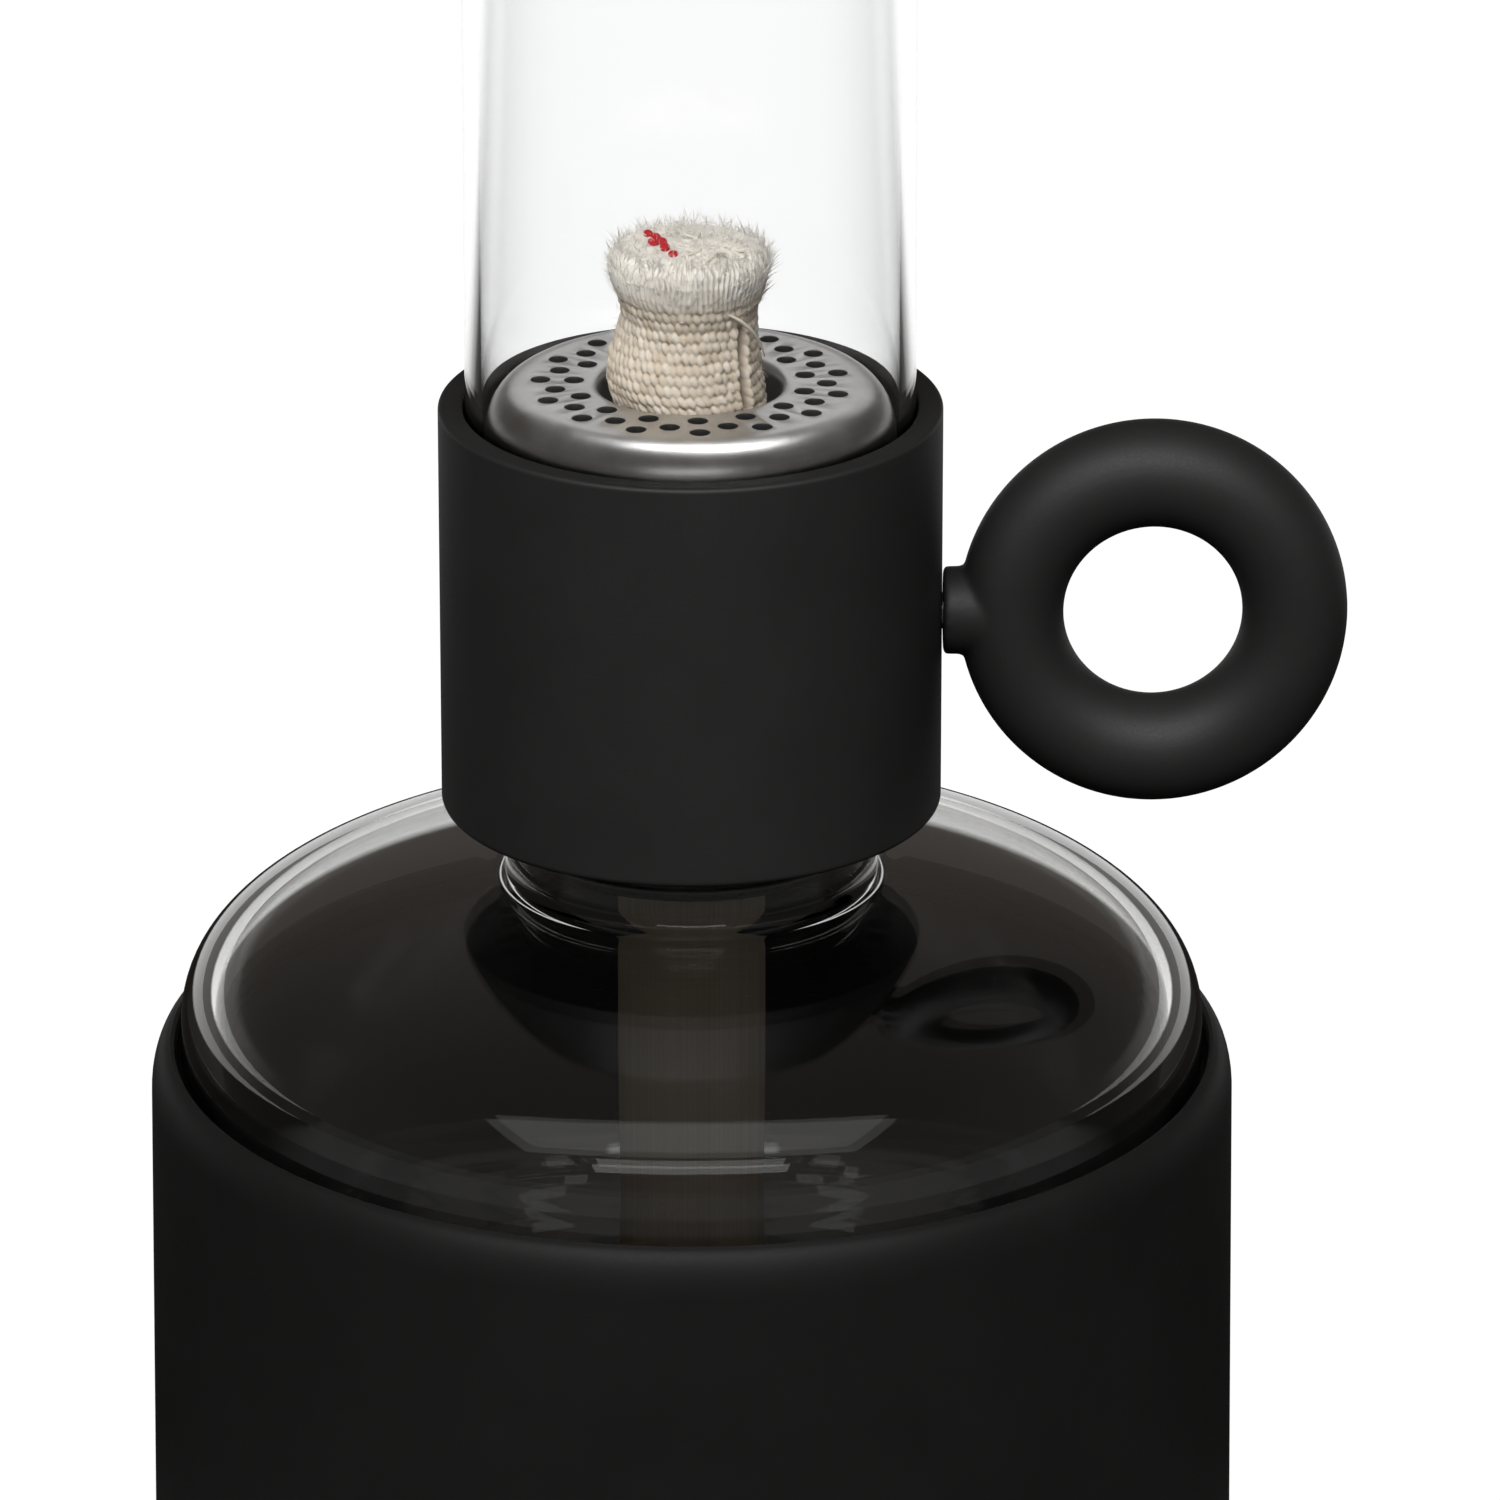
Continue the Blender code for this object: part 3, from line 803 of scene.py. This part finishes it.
def smooth_path(corners, steps=28):
    """A curve through corner points."""
    corners = np.array(corners, dtype=float)
    at = np.linspace(0, len(corners) - 1, steps)
    smooth = np.stack([np.interp(at, range(len(corners)), corners[:, k]) for k in range(3)], axis=1)
    for _ in range(3):
        smooth[1:-1] = (smooth[:-2] + 2 * smooth[1:-1] + smooth[2:]) / 4
    return smooth


LOOSE_THREAD = (
    (4.9, -8.3, 178.6),
    (6.6, -7.5, 177.4),
    (8.0, -6.5, 175.8),
    (9.2, -5.0, 173.6),
    (9.8, -3.6, 171.2),
)
YARN_ENDS = 13
MARKER_FLOATS = (
    (-5.6, 2.6, 186.1),
    (-4.6, 0.6, 186.35),
    (-3.7, -1.4, 186.4),
    (-3.3, -3.5, 186.3),
    (-2.2, -5.3, 185.9),
    (-4.9, -1.2, 186.2),
)


def make_yarns(look):
    """Yarn ends lying over the cut head, and the loose thread that hangs beside the slit."""
    rng = np.random.default_rng(5)
    paths, widths = [smooth_path(LOOSE_THREAD)], [0.26]
    for _ in range(YARN_ENDS):
        start = np.array((1.0 + 6.2 * rng.random(), -6.6 + 9.5 * rng.random(), 185.75))
        way = np.array((0.5 * rng.normal(), -0.6 - rng.random(), 0.12))
        paths.append(fibre(rng, start, way / np.linalg.norm(way), rng.uniform(2.0, 3.6), 0.16, 9))
        widths.append(rng.uniform(0.20, 0.34))
    return wear(strand_mesh("wick_yarns", paths, widths, 8), look, "wick", "cotton")


def make_marker(look):
    """The red marker thread, in short floats over the left of the head."""
    rng = np.random.default_rng(3)
    parts = []
    for place in MARKER_FLOATS:
        deselect()
        middle = [mm(v) for v in place]
        bpy.ops.mesh.primitive_uv_sphere_add(segments=20, ring_count=12, radius=mm(1), location=middle)
        part = bpy.context.object
        part.scale = (0.62 + 0.1 * rng.random(), 0.95, 0.5)
        part.rotation_euler = (0, 0, radians(rng.uniform(-10, 60)))
        bpy.ops.object.transform_apply(location=True, rotation=True, scale=True)
        parts.append(part)
    pick(*parts)
    bpy.ops.object.join()
    marker = bpy.context.object
    marker.name = "wick_marker_thread"
    pick(marker)
    bpy.ops.object.shade_smooth()
    bpy.context.scene.cursor.location = (0, 0, 0)
    bpy.ops.object.origin_set(type="ORIGIN_CURSOR")
    return wear(marker, look, "wick", "cotton")


# ---------------------------------------------------------------------------------------------
# Stage
# ---------------------------------------------------------------------------------------------

# Brightness of the room, where 1 is white.
SKY_TOP = (0.105, 0.092, 0.084)
SKY_FRONT = (0.11, 0.10, 0.095)
SKY_WALL = (0.42, 0.41, 0.40)
# How brightly the floor glows: by how far back it lies, and where it is looked at directly.
FLOOR_GLOW_BY_Y = ((-0.20, 0.14), (-0.04, 0.14), (0.02, 0.0), (0.40, 0.0), (0.47, 1.0))
FLOOR_GLOW_MOST, FLOOR_GLOW_SEEN = 1.10, 0.97
FLOOR_SIZE = 16


def make_floor():
    """A floor that glows by itself."""
    deselect()
    bpy.ops.mesh.primitive_plane_add(size=FLOOR_SIZE)
    floor = bpy.context.object
    floor.name = "studio_floor"
    look, tree, shader = finish_named("studio_floor")
    place = place_node(tree)
    shader.inputs["Roughness"].default_value = 0.9
    shader.inputs["Specular IOR Level"].default_value = 0.1
    shader.inputs["Emission Color"].default_value = (1, 1, 1, 1)
    # Lit from behind the lamp, and white wherever it is looked at directly.
    split = tree.nodes.new("ShaderNodeSeparateXYZ")
    tree.links.new(place, split.inputs["Vector"])
    near, far = FLOOR_GLOW_BY_Y[0][0], FLOOR_GLOW_BY_Y[-1][0]
    depth = tree.nodes.new("ShaderNodeMapRange")
    depth.inputs["From Min"].default_value = near
    depth.inputs["From Max"].default_value = far
    tree.links.new(split.outputs["Y"], depth.inputs["Value"])
    stops = [((y - near) / (far - near), (glow, glow, glow)) for y, glow in FLOOR_GLOW_BY_Y]
    by_depth = remap(tree, ramp(tree, depth.outputs["Result"], stops), 0.0, FLOOR_GLOW_MOST)
    seen = tree.nodes.new("ShaderNodeLightPath")
    glow = tree.nodes.new("ShaderNodeMix")
    glow.data_type = "FLOAT"
    tree.links.new(seen.outputs["Is Camera Ray"], glow.inputs["Factor"])
    tree.links.new(by_depth, glow.inputs[2])
    glow.inputs[3].default_value = FLOOR_GLOW_SEEN
    tree.links.new(glow.outputs[0], shader.inputs["Emission Strength"])
    pale = blend(tree, seen.outputs["Is Camera Ray"], (0.2, 0.2, 0.2), (0.8, 0.8, 0.8))
    tree.links.new(pale, shader.inputs["Base Color"])
    floor.data.materials.append(look)


def make_sky():
    """A dim warm room with a low pale wall behind the lamp."""
    world = bpy.data.worlds.new("studio")
    bpy.context.scene.world = world
    world.use_nodes = True
    tree = world.node_tree
    way = tree.nodes.new("ShaderNodeTexCoord").outputs["Generated"]
    split = tree.nodes.new("ShaderNodeSeparateXYZ")
    tree.links.new(way, split.inputs["Vector"])
    high = ramp(tree, split.outputs["Z"], ((0.0, SKY_FRONT), (0.62, SKY_FRONT), (0.93, SKY_TOP)))
    back = ramp(tree, split.outputs["Z"], ((0.0, SKY_WALL), (0.10, SKY_WALL), (0.17, SKY_TOP)))
    depth = tree.nodes.new("ShaderNodeMapRange")
    depth.inputs["From Min"].default_value = 0.25
    depth.inputs["From Max"].default_value = 0.60
    tree.links.new(split.outputs["Y"], depth.inputs["Value"])
    both = tree.nodes.new("ShaderNodeMix")
    both.data_type = "RGBA"
    tree.links.new(depth.outputs["Result"], both.inputs["Factor"])
    tree.links.new(high, both.inputs[6])
    tree.links.new(back, both.inputs[7])
    tree.links.new(both.outputs[2], tree.nodes["Background"].inputs["Color"])


def link_light(lamp, purpose, pieces, state):
    """A collection that says which pieces a light reaches, or which ones don't stop it."""
    group = bpy.data.collections.new(lamp.name + purpose)
    for piece in pieces:
        group.objects.link(piece)
    for entry in group.collection_objects:
        entry.light_linking.link_state = state
    return group


def add_softbox(name, place, aim, size, power, reaches, passes=()):
    """A softbox that lights only the pieces it reaches, through those it passes."""
    data = bpy.data.lights.new(name, "AREA")
    data.shape = "RECTANGLE"
    data.size, data.size_y = size
    data.energy = power
    lamp = bpy.data.objects.new(name, data)
    bpy.context.scene.collection.objects.link(lamp)
    lamp.location = place
    lamp.rotation_euler = (Vector(aim) - Vector(place)).to_track_quat("-Z", "Y").to_euler()
    lamp.light_linking.receiver_collection = link_light(lamp, "_reach", reaches, "INCLUDE")
    if passes:
        lamp.light_linking.blocker_collection = link_light(lamp, "_passes", passes, "EXCLUDE")
    return lamp


PITCH = 21.5  # degrees, looking down
LENS, SENSOR = 264.0, 36.0
CAMERA_AWAY = 1.461  # metres from the middle of the view
VIEW_BELOW_RIM, VIEW_RIGHT = 46.1, 7.9  # the middle of the view, from the middle of the collar's rim


def make_camera():
    """A long lens, looking down at the collar from the front."""
    pitch = radians(PITCH)
    ahead = Vector((0, cos(pitch), -sin(pitch)))
    up = Vector((0, sin(pitch), cos(pitch)))
    rim = Vector((0, 0, mm(COLLAR_HIGH[2])))
    aim = rim - up * mm(VIEW_BELOW_RIM) + Vector((mm(VIEW_RIGHT), 0, 0))
    data = bpy.data.cameras.new("camera")
    data.sensor_width = SENSOR
    data.lens = LENS
    camera = bpy.data.objects.new("camera", data)
    bpy.context.scene.collection.objects.link(camera)
    camera.location = aim - ahead * CAMERA_AWAY
    camera.rotation_euler = ahead.to_track_quat("-Z", "Y").to_euler()
    bpy.context.scene.camera = camera


def dress(node, look):
    """Gives a CAD node that is kept its material."""
    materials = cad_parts[node].data.materials
    materials.clear()
    materials.append(look)


def make_lights(base, bowl, collar, ring, cap, tube, wick):
    """Each softbox: where it hangs, what it aims at, its size in metres, its watts and what it lights."""
    over_front, burner, glass = (-0.1, -1.5, 1.75), (0, 0, 0.16), (0, 0, 0.08)
    add_softbox("key", over_front, burner, (2.6, 1.0), 150.0, (collar, ring))
    add_softbox("base_key", over_front, burner, (2.6, 1.0), 68.0, (base,), (bowl,))
    add_softbox("wick_front", (-0.25, -1.0, 1.45), (0, 0, 0.17), (1.0, 1.0), 29.0, wick, (tube,))
    add_softbox("cap_back", (0.05, 1.5, 0.85), burner, (1.4, 0.45), 2.2, (cap,), (tube,))
    add_softbox("cap_over", (0.12, 0.40, 1.75), burner, (0.9, 0.5), 13.0, (cap,), (tube,))
    add_softbox("window", (0.0, -0.75, 1.5), glass, (2.0, 0.9), 3.2, (bowl, base))
    add_softbox("strip", (0.0, -1.45, 1.0), glass, (1.2, 0.28), 1.6, (bowl, base, cap), (tube,))


RUBBER_NODES = (
    "foot_pad",
    "reservoir_pad",
    "bowl_ring",
    "neck_gasket",
    "tube_washer",
    "chimney_cushion",
)
STEEL_NODES = ("wick_tube", "chimney_gallery", "handle_screw")


def main():
    coat = black_coat()
    rubber = black_rubber()
    steel = satin_steel()
    base = make_base(coat)
    bowl = make_bowl(clear_glass("bowl_glass", (0.93, 0.94, 0.93), 0.02))
    collar = make_collar(coat)
    ring = make_ring(coat)
    cap = make_cap(steel)
    tube = make_chimney(clear_glass("tube_glass", (0.985, 0.99, 0.99), 0.0))
    wick = (
        make_wick_body(woven_cotton()),
        make_fluff(cotton_fibre("white_fibre", (0.95, 0.92, 0.86))),
        make_yarns(cotton_fibre("cream_yarn", (0.92, 0.86, 0.74))),
        make_marker(cotton_fibre("red_thread", (0.55, 0.012, 0.02))),
    )
    for node in RUBBER_NODES:
        dress(node, rubber)
    for node in STEEL_NODES:
        dress(node, steel)
    dress("neck_plug", coat)
    make_floor()
    make_sky()
    make_lights(base, bowl, collar, ring, cap, tube, wick)
    make_camera()
    bpy.context.scene.view_settings.view_transform = "Standard"


main()
